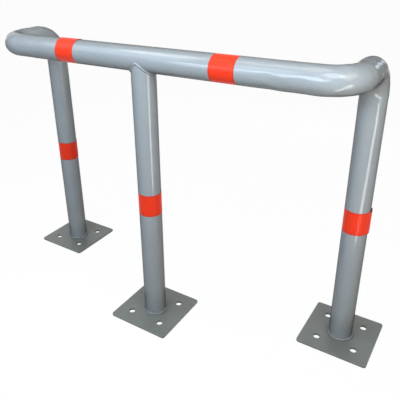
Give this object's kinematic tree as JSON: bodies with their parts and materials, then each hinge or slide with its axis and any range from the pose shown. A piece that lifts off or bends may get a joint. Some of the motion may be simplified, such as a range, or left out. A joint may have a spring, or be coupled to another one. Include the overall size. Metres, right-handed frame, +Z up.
{
  "type": "barrier hoop",
  "caption": "Welded guard hoop of bent round steel tube with a saddle-cut centre leg, square bolt-down base plates and red-orange reflective tape bands, for keeping vehicles off.",
  "frame": {"origin": "on the floor, under the centre of the outline", "axes": "+X along the rail, to the right seen from the rail's side; +Y from the rail back towards the end legs; +Z up"},
  "size_m": [0.95, 0.3, 0.626],
  "materials": {
    "tube_coat": "glossy silver-grey powder coat",
    "plate_coat": "satin silver-grey powder coat over cut plate",
    "weld_coat": "powder coat over a rippled weld bead",
    "reflective_tape": "red-orange reflective tape"
  },
  "bodies": {
    "root": {"hoop_tube": "tube_coat", "centre_leg": "tube_coat", "saddle_weld": "weld_coat", "base_plate_left": "plate_coat", "base_plate_centre": "plate_coat", "base_plate_right": "plate_coat", "foot_weld_left": "weld_coat", "foot_weld_centre": "weld_coat", "foot_weld_right": "weld_coat", "rail_band_left": "reflective_tape", "rail_band_right": "reflective_tape", "leg_band_left": "reflective_tape", "leg_band_centre": "reflective_tape", "leg_band_right": "reflective_tape"}
  },
  "joints": []
}
